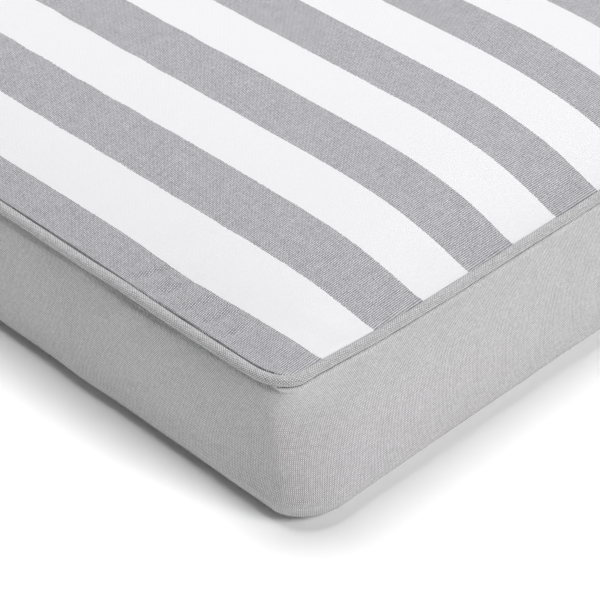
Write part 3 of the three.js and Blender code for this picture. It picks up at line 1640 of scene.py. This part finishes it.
@dataclass
class FilledBody:
    """The filled cushion with its boxing, which shows below the piping.

    Attributes:
        form: The cushion's smooth surfaces.
        swell: The wrinkles that the filling makes.
        top: The striped panel, which lies on the body.
        finish: The boxing's cloth.
        lattice: Its rim gives the points of each ring.
        rows: Rings down the boxing, evenly spaced.
        seam_rows: Shares of the way down at which more rings shape the cloth below the piping.
        round_rows: Rings round the lower edge.
        fill: How firmly the body is filled, from 0 to 1.
        corner_give: How far a corner sinks in halfway down.
        corner_reach: How far along the sides that is felt.
        corner_spread: A low power spreads it up and down.
        sewn_reach: How far below the piping the cloth is held.
        foot: How far down the cloth it is held again.
        foot_reach: How far above there that is felt.
        upright: Share of the wrinkles' upward moves that is kept.
        puckers: Short creases below the seam.
        folds: Soft folds beside the near corner, along the cloth from that corner.
        ripples: Low waves of the boxing.
        girth: The seam's length over the radius of the circle that carries the waves.
        hidden: Places in the cloth of hidden rings, above the seam and past the lower edge.
    """

    form: Form
    swell: Swell
    top: StripedTop
    finish: Canvas
    lattice: Lattice = Lattice(212, 12)
    rows: int = 34
    seam_rows: tuple[float, ...] = (0, 0.002, 0.006, 0.014, 0.04, 0.049, 0.068, 0.078, 0.1)
    round_rows: int = 7
    fill: float = 0.9
    corner_give: float = 4.0
    corner_reach: float = 45.0
    corner_spread: float = 0.7
    sewn_reach: float = 2.5
    foot: float = 92.0
    foot_reach: float = 8.0
    upright: float = 0.5
    puckers: SeamPuckers = SeamPuckers(41, (0.05, 0.22), (4.0, 8.0), (8.0, 22.0), (14.0, 40.0))
    folds: tuple[Fold, ...] = (
        Fold((-43.6, 38.0), (-7.6, 50.0), 0.7, 5.0, 0.4, Fade.BOTH),
        Fold((-15.0, 6.5), (10.0, 5.5), -0.7, 1.3, 0.5, Fade.BOTH),
    )
    ripples: Ripples = Ripples(9, 0.1, 140.0, 45.0)
    girth: float = 6.3
    hidden: tuple[float, float, float] = (60.0, 4.0, 8.0)

    def build(self) -> bpy.types.Object:
        """Makes the body, from the middle of its top down to the middle of its underside.

        Returns:
            The piece.
        """
        form, plan, lattice = self.form, self.form.plan, self.lattice
        shell = Shell()
        rim = plan.drawn(lattice.ring(plan.edge, plan.edge, plan.edge_corner))
        around, length = self.around()
        above, past, under = self.hidden
        rings = []
        for share in reversed(INNER_SHARES):
            shell.add_ring(self.under(rim * share), self.place(around, above))
            rings.append(shell.last)
        shell.add_ring(form.slot(lattice), self.place(around, 0.0))
        down, previous = 0.0, None
        for share, ring in self.boxing_rings():
            if previous is not None:
                down += float(np.linalg.norm(ring - previous, axis=1).mean())
            previous = ring
            run = self.run(ring, length)
            moved = self.moved(ring, run, length, share, down)
            shell.add_ring(moved, self.place(run, -down))
        for angle in (form.base_seam(plan.gap / 2), 0.0):
            ring = form.rounded(lattice, angle, form.bed)
            shell.add_ring(ring, self.place(around, -down - past))
        flat = shell.points[-1]
        for share in BASE_SHARES:
            ring = flat * np.array([share, share, 1.0])
            shell.add_ring(ring, self.place(around, -down - under))
        shell.add_tip([[0.0, 0.0, form.bed]], [[length / 2, -down - under]])
        shell.last = rings[0]
        shell.add_tip(self.under(np.zeros((1, 2))), [[length / 2, above]], True)
        piece = shell.object("filled_body", length)
        piece.data.materials.append(self.finish.material())
        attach(piece, "root")
        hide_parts("cushion_body")
        return piece

    def boxing_rings(self) -> list[tuple[float, Array]]:
        """The boxing's rings from the seam to the base panel, each with its share of the way.

        Returns:
            The shares and the rings.
        """
        form, lattice = self.form, self.lattice
        even = np.linspace(0, 1, self.rows + 1)[1:]
        shares = np.sort(np.concatenate([self.seam_rows, even]))
        ledge = form.base_seam(form.plan.gap / 2)
        angles = np.linspace(90, ledge, self.round_rows + 1)[1:]
        rings = [(share, form.boxing(lattice, share)) for share in shares]
        return rings + [(1.0, form.rounded(lattice, angle, 0)) for angle in angles]

    def place(self, run: Array, height: float) -> Array:
        """Places in the cloth at one height."""
        return np.stack([run, np.full_like(run, height)], -1)

    def under(self, flat: Array) -> Array:
        """The body's top, just under the striped panel, over places in plan."""
        return self.top.below(flat, self.form.bed)

    def around(self) -> tuple[Array, float]:
        """How far round the seam each of the rim's points lies, and the whole way round.

        Returns:
            One distance for each point, and the length.
        """
        plan = self.form.plan
        ring = plan.drawn(self.lattice.ring(plan.seam, plan.seam, plan.corner))
        length = float(np.linalg.norm(np.roll(ring, -1, 0) - ring, axis=1).sum())
        return self.run(ring, length), length

    def run(self, ring: Array, length: float) -> Array:
        """How far round the cloth a ring's points lie, with each corner's tip below the seam's.

        Args:
            ring: The ring's points.
            length: The whole way round the seam.

        Returns:
            One distance for each point.
        """
        steps = np.linalg.norm(np.roll(ring, -1, 0) - ring, axis=1).reshape(len(Side), -1)
        ends = np.cumsum(steps, 1)
        shares = np.arange(len(Side))[:, None] + (ends - steps) / ends[:, -1:]
        return (shares * length / len(Side)).ravel()

    def moved(
        self, ring: Array, around: Array, length: float, share: float, down: float
    ) -> Array:
        """One ring of the boxing with its puckers, folds and wrinkles.

        Args:
            ring: The smooth ring.
            around: How far round each point lies.
            length: The whole way round.
            share: Share of the way down the boxing.
            down: Distance below the seam over the cloth.

        Returns:
            The moved ring.
        """
        sewn = 1 - math.exp(-((down / self.sewn_reach) ** 2))
        above_foot = max(self.foot - down, 0.0)
        lower = 1 - math.exp(-((above_foot / self.foot_reach) ** 2))
        pushed = self.swell.on_boxing(np.full(len(ring), share), around / length)
        sunk = self.corner_give * math.sin(math.pi * share) ** self.corner_spread
        out = self.lift(around, length, down) - sunk * self.corner_share(ring)
        moves = pushed * np.array([1.0, 1.0, self.upright])
        moves[:, :2] += self.lattice.facing() * out[:, None]
        return ring + moves * sewn * lower

    def corner_share(self, ring: Array) -> Array:
        """One at a corner's tip, falling to nothing along the sides.

        Args:
            ring: The ring's points.

        Returns:
            One share for each point.
        """
        middle = self.form.plan.seam
        reach = np.minimum(np.abs(ring[:, 0]), np.abs(ring[:, 1]))
        return np.exp(-(((middle - reach) / self.corner_reach) ** 2))

    def lift(self, around: Array, length: float, down: float) -> Array:
        """How far puckers and ripples push the boxing outwards, at one distance below the seam.

        Args:
            around: How far round each point lies.
            length: The whole way round.
            down: The distance below the seam.

        Returns:
            The move at each point.
        """
        turn, radius = around / length * 2 * math.pi, length / self.girth
        depth = np.full(len(around), down)
        total = self.ripples.lift(np.cos(turn) * radius, np.sin(turn) * radius + depth)
        for fold in self.puckers.folds(length):
            total += fold.lift(around - length / 2, depth)
        for fold in self.folds:
            total += fold.lift(around - NEAR_CORNER * length, depth)
        return total


@dataclass
class Piping:
    """The piping sewn in the top seam: one closed tube of cloth cut on the bias.

    Attributes:
        form: The cushion's smooth surfaces.
        finish: The cloth.
        lattice: Its rim gives the points of the middle line.
        diameter: Thickness of the tube.
        sides: Sides of its section.
        unevenness: Share by which its thickness varies.
        grain: About how many times that rises and falls in a metre.
        seed: Seed of that.
        drift: How the middle line strays from the seam.
        drift_sideways: Share of the drift that goes sideways.
        drift_apart: How far off in the drift's waves the upward part is read.
        closing: The length of the path's last step, which closes it.
    """

    form: Form
    finish: Canvas
    lattice: Lattice = Lattice(212, 12)
    diameter: float = 5.0
    sides: int = 28
    unevenness: float = 0.035
    grain: float = 90.0
    seed: float = 3.0
    drift: Ripples = Ripples(21, 0.06, 90.0, 22.0, 6)
    drift_sideways: float = 0.5
    drift_apart: float = 500.0
    closing: float = 2.0

    def build(self) -> bpy.types.Object:
        """Makes the piping along the seam.

        Returns:
            The piece.
        """
        piece = self.tube(self.path())
        piece.data.materials.clear()
        piece.data.materials.append(self.finish.material())
        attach(piece, "root")
        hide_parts("piping")
        return piece

    def path(self) -> Array:
        """The piping's middle line, once round the seam.

        Returns:
            Its points in millimetres.
        """
        plan = self.form.plan
        ring = plan.drawn(self.lattice.ring(plan.seam, plan.seam, plan.corner))
        x, y = ring[:, 0], ring[:, 1]
        sideways = self.drift_sideways * self.drift.lift(x, y)[:, None] * self.lattice.facing()
        height = self.form.seam_height + self.drift.lift(y + self.drift_apart, x)
        return np.concatenate([ring + sideways, height[:, None]], 1)

    def tube(self, path: Array) -> bpy.types.Object:
        """Carries a round section along the path with Geometry Nodes, and lays the cloth on it.

        Args:
            path: The piping's middle line.

        Returns:
            The linked object, a plain mesh.
        """
        count = len(path)
        mesh = bpy.data.meshes.new("piping_path")
        edges = [(number, (number + 1) % count) for number in range(count)]
        mesh.from_pydata((path * MM).tolist(), edges, [])
        line = linked("piping_path", mesh)
        modifier = line.modifiers.new("piping", "NODES")
        tree, inputs = self.tree()
        modifier.node_group = tree
        for name, value in (
            ("Diameter", self.diameter * MM),
            ("Sides", self.sides),
            ("Unevenness", self.unevenness),
            ("Grain", self.grain),
            ("Seed", self.seed),
        ):
            modifier[inputs[name]] = value
        shown = line.evaluated_get(bpy.context.evaluated_depsgraph_get())
        tube = bpy.data.meshes.new_from_object(shown)
        line.modifiers.clear()
        bpy.data.objects.remove(line)
        tube.name = "piping_tube"
        self.lay(tube)
        return linked("piping_tube", tube)

    def lay(self, tube: bpy.types.Mesh) -> None:
        """Turns the tube's along and round attributes into the cloth map.

        Args:
            tube: The mesh.
        """
        places = np.empty((len(tube.vertices), 2))
        for column, name in enumerate(("along", "round")):
            read = np.empty(len(tube.vertices))
            tube.attributes[name].data.foreach_get("value", read)
            tube.attributes.remove(tube.attributes[name])
            places[:, column] = read / MM
        length = float(places[:, 0].max()) + self.closing
        lay_cloth(tube, places, (length, math.pi * self.diameter))

    def tree(self) -> tuple[bpy.types.NodeTree, dict[str, str]]:
        """The node tree that makes a tube along a path.

        Returns:
            The tree, and the identifier of each named input.
        """
        tree = bpy.data.node_groups.new("piping along a path", "GeometryNodeTree")
        wires = Wiring(tree)
        face = tree.interface
        face.new_socket("Path", in_out="INPUT", socket_type="NodeSocketGeometry")
        identifiers = {}
        for name, kind in (
            ("Diameter", "NodeSocketFloat"),
            ("Sides", "NodeSocketInt"),
            ("Unevenness", "NodeSocketFloat"),
            ("Grain", "NodeSocketFloat"),
            ("Seed", "NodeSocketFloat"),
        ):
            identifiers[name] = face.new_socket(name, in_out="INPUT", socket_type=kind).identifier
        face.new_socket("Tube", in_out="OUTPUT", socket_type="NodeSocketGeometry")
        given = wires.add("NodeGroupInput").outputs

        def marked(curve: bpy.types.Node, name: str) -> bpy.types.NodeSocket:
            """A curve that carries the length up to each of its points under a name.

            Args:
                curve: The node that gives the curve.
                name: The attribute's name.

            Returns:
                The curve's socket.
            """
            run = wires.add("GeometryNodeSplineParameter").outputs["Length"]
            stored = wires.add(
                "GeometryNodeStoreNamedAttribute",
                {"Geometry": curve.outputs[0], "Name": name, "Value": run},
                data_type="FLOAT",
                domain="POINT",
            )
            return stored.outputs[0]

        curve = wires.add("GeometryNodeMeshToCurve", {"Mesh": given["Path"]})
        level = wires.add("GeometryNodeSetCurveNormal", {"Curve": curve.outputs[0]}, mode="Z_UP")
        grain = wires.add(
            "ShaderNodeTexNoise",
            {"W": given["Seed"], "Scale": given["Grain"], "Detail": 1.0},
            noise_dimensions="4D",
        )
        uneven = wires.math("MULTIPLY", wires.math("SUBTRACT", grain.outputs[0], 0.5), 2.0)
        width = wires.math("MULTIPLY_ADD", uneven, given["Unevenness"], 1.0)
        sized = wires.add(
            "GeometryNodeSetCurveRadius", {"Curve": marked(level, "along"), "Radius": width}
        )
        circle = wires.add(
            "GeometryNodeCurvePrimitiveCircle",
            {
                "Resolution": given["Sides"],
                "Radius": wires.math("MULTIPLY", given["Diameter"], 0.5),
            },
            mode="RADIUS",
        )
        swept = wires.add(
            "GeometryNodeCurveToMesh",
            {"Curve": sized.outputs[0], "Profile Curve": marked(circle, "round")},
        )
        real = wires.add("GeometryNodeRealizeInstances", {"Geometry": swept.outputs[0]})
        dressed = wires.add("GeometryNodeSetMaterial", {"Geometry": real.outputs[0]})
        wires.add("NodeGroupOutput", {"Tube": dressed.outputs[0]})
        return tree, identifiers


@dataclass
class BasePanel:
    """The plain panel underneath, turned up at its rim to the seam with the boxing.

    Attributes:
        form: The cushion's smooth surfaces.
        finish: The cloth.
        lattice: The grid of its flat part.
        cut: The sheet's flat size in metres.
        inner_rows: Rings up the rim's inside.
        outer_rows: Rings down the rim's outside.
        stretch: Share by which the cloth is wider per degree up the rim.
        inner_stretch: The same for the whole of the rim's inside.
    """

    form: Form
    finish: Canvas
    lattice: Lattice = Lattice(104, 6)
    cut: Pair = (0.504, 0.525)
    inner_rows: int = 3
    outer_rows: int = 6
    stretch: float = 0.00065
    inner_stretch: float = 0.01

    def build(self, carrier: bpy.types.Object) -> bpy.types.Object:
        """Makes the panel.

        Args:
            carrier: The filled body that the panel is sewn to. It is not used.

        Returns:
            The piece.
        """
        form, lattice = self.form, self.lattice
        shell = Shell()
        inner, outer = self.flat(form.panel), self.flat(0.0)
        seam = form.base_seam(-form.plan.gap / 2)
        shell.add_spread(lattice, self.lying(inner, form.panel), inner, True)
        for angle in np.linspace(0, seam, self.inner_rows + 1)[1:]:
            ring = form.rounded(lattice, angle, form.panel)
            shell.add_ring(ring, ring[:, :2] * (1 + self.inner_stretch))
        rim = outer.reshape(-1, 2)[lattice.rim()]
        for angle in np.linspace(seam, 0, self.outer_rows):
            ring = form.rounded(lattice, angle, 0.0)
            shell.add_ring(ring, rim * (1 + self.stretch * angle))
        shell.close_spread(lattice, self.lying(outer, 0.0), outer)
        piece = shell.object("base_cloth")
        piece.data.materials.append(self.finish.material())
        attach(piece, "root")
        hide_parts("base_panel")
        return piece

    def flat(self, depth: float) -> Array:
        """The panel's flat part in plan, at a depth in the cloth."""
        square = self.lattice.spread(*self.form.rounded_square(0.0, depth))
        return self.form.plan.drawn(square, 0.0)

    def lying(self, flat: Array, height: float) -> Array:
        """Points in plan at one height."""
        return np.concatenate([flat, np.full(flat.shape[:-1] + (1,), height)], -1)


# ---------------------------------------------------------------- studio


@dataclass(frozen=True)
class Softbox:
    """A round soft light that looks at the cushion.

    Attributes:
        name: The light's name.
        place: Where it stands, in metres.
        width: Its width in metres.
        power: Its power in watts.
    """

    name: str
    place: Place
    width: float
    power: float

    def build(self) -> None:
        """Makes the light."""
        lamp = bpy.data.lights.new(self.name, "AREA")
        lamp.shape = "DISK"
        lamp.size = self.width
        lamp.energy = self.power
        box = linked(self.name, lamp)
        box.location = self.place
        box.rotation_euler = Vector(self.place).to_track_quat("Z", "Y").to_euler()


@dataclass
class Studio:
    """The pale floor, the soft light and the camera.

    Attributes:
        azimuth: The camera's way round the cushion, in degrees.
        elevation: Its height above the horizon, in degrees.
        lens: Focal length in millimetres.
        sensor: Width of the camera's sensor in millimetres.
        clip: The nearest and farthest distances that the camera sees, in metres.
        distance: From the camera to the near corner of the seam.
        corner: That corner, in millimetres.
        seen_at: Where the corner is in the picture.
        picture: Width and height of the picture.
        floor_half: Half of the floor's width in metres.
        floor_tone: Brightness of the overexposed floor.
        glow: Brightness of the surroundings at the horizon.
        glow_height: Sine of the elevation at which that glow has died out.
        boxes: The lights.
    """

    azimuth: float = -45.0
    elevation: float = 37.8
    lens: float = 150.12
    sensor: float = 36.0
    clip: Pair = (0.01, 50.0)
    distance: float = 1060.2
    corner: Place = (-247.3, -247.3, 78.0)
    seen_at: Pair = (286.2, 393.8)
    picture: float = 600.0
    floor_half: float = 4.0
    floor_tone: float = 1.1
    glow: float = 2.64
    glow_height: float = 0.2
    boxes: tuple[Softbox, ...] = (
        Softbox("overhead", (0.124, 0.705, 2.080), 1.9, 58.3),
        Softbox("key", (0.208, -1.619, 1.156), 0.8, 18.7),
    )

    def build(self) -> None:
        """Makes the floor, the surroundings, the lights and the camera."""
        self._floor()
        self._surroundings()
        for box in self.boxes:
            box.build()
        self._camera()
        bpy.context.scene.view_settings.view_transform = "Standard"

    def _floor(self) -> None:
        """A wide pale floor."""
        half = self.floor_half
        mesh = bpy.data.meshes.new("floor")
        corners = [(-half, -half, 0), (half, -half, 0), (half, half, 0), (-half, half, 0)]
        mesh.from_pydata(corners, [], [(0, 1, 2, 3)])
        floor = linked("floor", mesh)
        paint = bpy.data.materials.new("floor_paint")
        paint.use_nodes = True
        shader = paint.node_tree.nodes["Principled BSDF"]
        tone = self.floor_tone
        shader.inputs["Base Color"].default_value = (tone, tone, tone, 1.0)
        shader.inputs["Roughness"].default_value = 1.0
        shader.inputs["Specular IOR Level"].default_value = 0.0
        mesh.materials.append(paint)

    def _surroundings(self) -> None:
        """Pale surroundings at the level of the floor, dark further up."""
        world = bpy.data.worlds.new("surroundings")
        world.use_nodes = True
        wires = Wiring(world.node_tree)
        way = wires.add("ShaderNodeTexCoord")
        height = wires.add("ShaderNodeSeparateXYZ", {0: way.outputs["Generated"]}).outputs[2]
        low = wires.math("DIVIDE", wires.math("ABSOLUTE", height), self.glow_height)
        left = wires.math("MAXIMUM", wires.math("SUBTRACT", 1.0, low), 0.0)
        glow = wires.math("MULTIPLY", left, self.glow)
        shade = wires.add("ShaderNodeBackground", {"Color": (1.0, 1.0, 1.0, 1.0), "Strength": glow})
        wires.add("ShaderNodeOutputWorld", {"Surface": shade.outputs[0]})
        bpy.context.scene.world = world

    def _camera(self) -> None:
        """The camera, so that the near corner of the seam is seen at its place in the picture."""
        turn, lift = math.radians(self.azimuth), math.radians(self.elevation)
        back = Vector(
            (math.sin(turn) * math.cos(lift), -math.cos(turn) * math.cos(lift), math.sin(lift))
        )
        right = Vector((0.0, 0.0, 1.0)).cross(back).normalized()
        up = back.cross(right)
        focal = self.lens / self.sensor * self.picture
        off_right = (self.seen_at[0] - self.picture / 2) / focal * self.distance
        off_down = (self.seen_at[1] - self.picture / 2) / focal * self.distance
        place = Vector(self.corner) + back * self.distance - right * off_right + up * off_down
        camera = bpy.data.cameras.new("camera")
        camera.lens = self.lens
        camera.sensor_width = self.sensor
        camera.clip_start, camera.clip_end = self.clip
        seat = linked("camera", camera)
        basis = Matrix((right, up, back)).transposed().to_4x4()
        seat.matrix_world = Matrix.Translation(place * MM) @ basis
        bpy.context.scene.camera = seat


def main() -> None:
    """Builds the studio and the cushion, piece by piece."""
    logging.basicConfig(level=logging.INFO, format="%(name)s: %(message)s")
    Studio().build()
    form = Form()
    swell = Filling().swell(form)
    most = [float(np.abs(moves).max()) for moves in (swell.top, swell.boxing)]
    log.info("wrinkles: top %.2f mm, boxing %.2f mm", *most)
    grey: Colour = (0.387, 0.384, 0.405)
    canvas: Colour = (0.527, 0.523, 0.528)
    bias_canvas: Colour = (0.445, 0.443, 0.45)
    striped_weave = Weave(ribs=(0.18, 0.37, 0.45), wander=0.25)
    striped = StripedCotton("striped_cotton", grey, striped_weave, contrast=1.2, streaks=0.25)
    top = StripedTop(form, swell, striped)
    body = FilledBody(form, swell, top, Canvas("boxing_canvas", canvas)).build()
    bias_weave = Weave(0.85, 0.85, 45.0, slub=5.0, ribs=(0.25, 0.25, 0.5))
    bias = Canvas("piping_canvas", bias_canvas, bias_weave, contrast=1.25)
    made = [
        body,
        top.build(body),
        Piping(form, bias).build(),
        BasePanel(form, Canvas("base_canvas", canvas)).build(body),
    ]
    for piece in made:
        log.info("%s: %d faces", piece.name, len(piece.data.polygons))


if __name__ == "__main__":
    main()
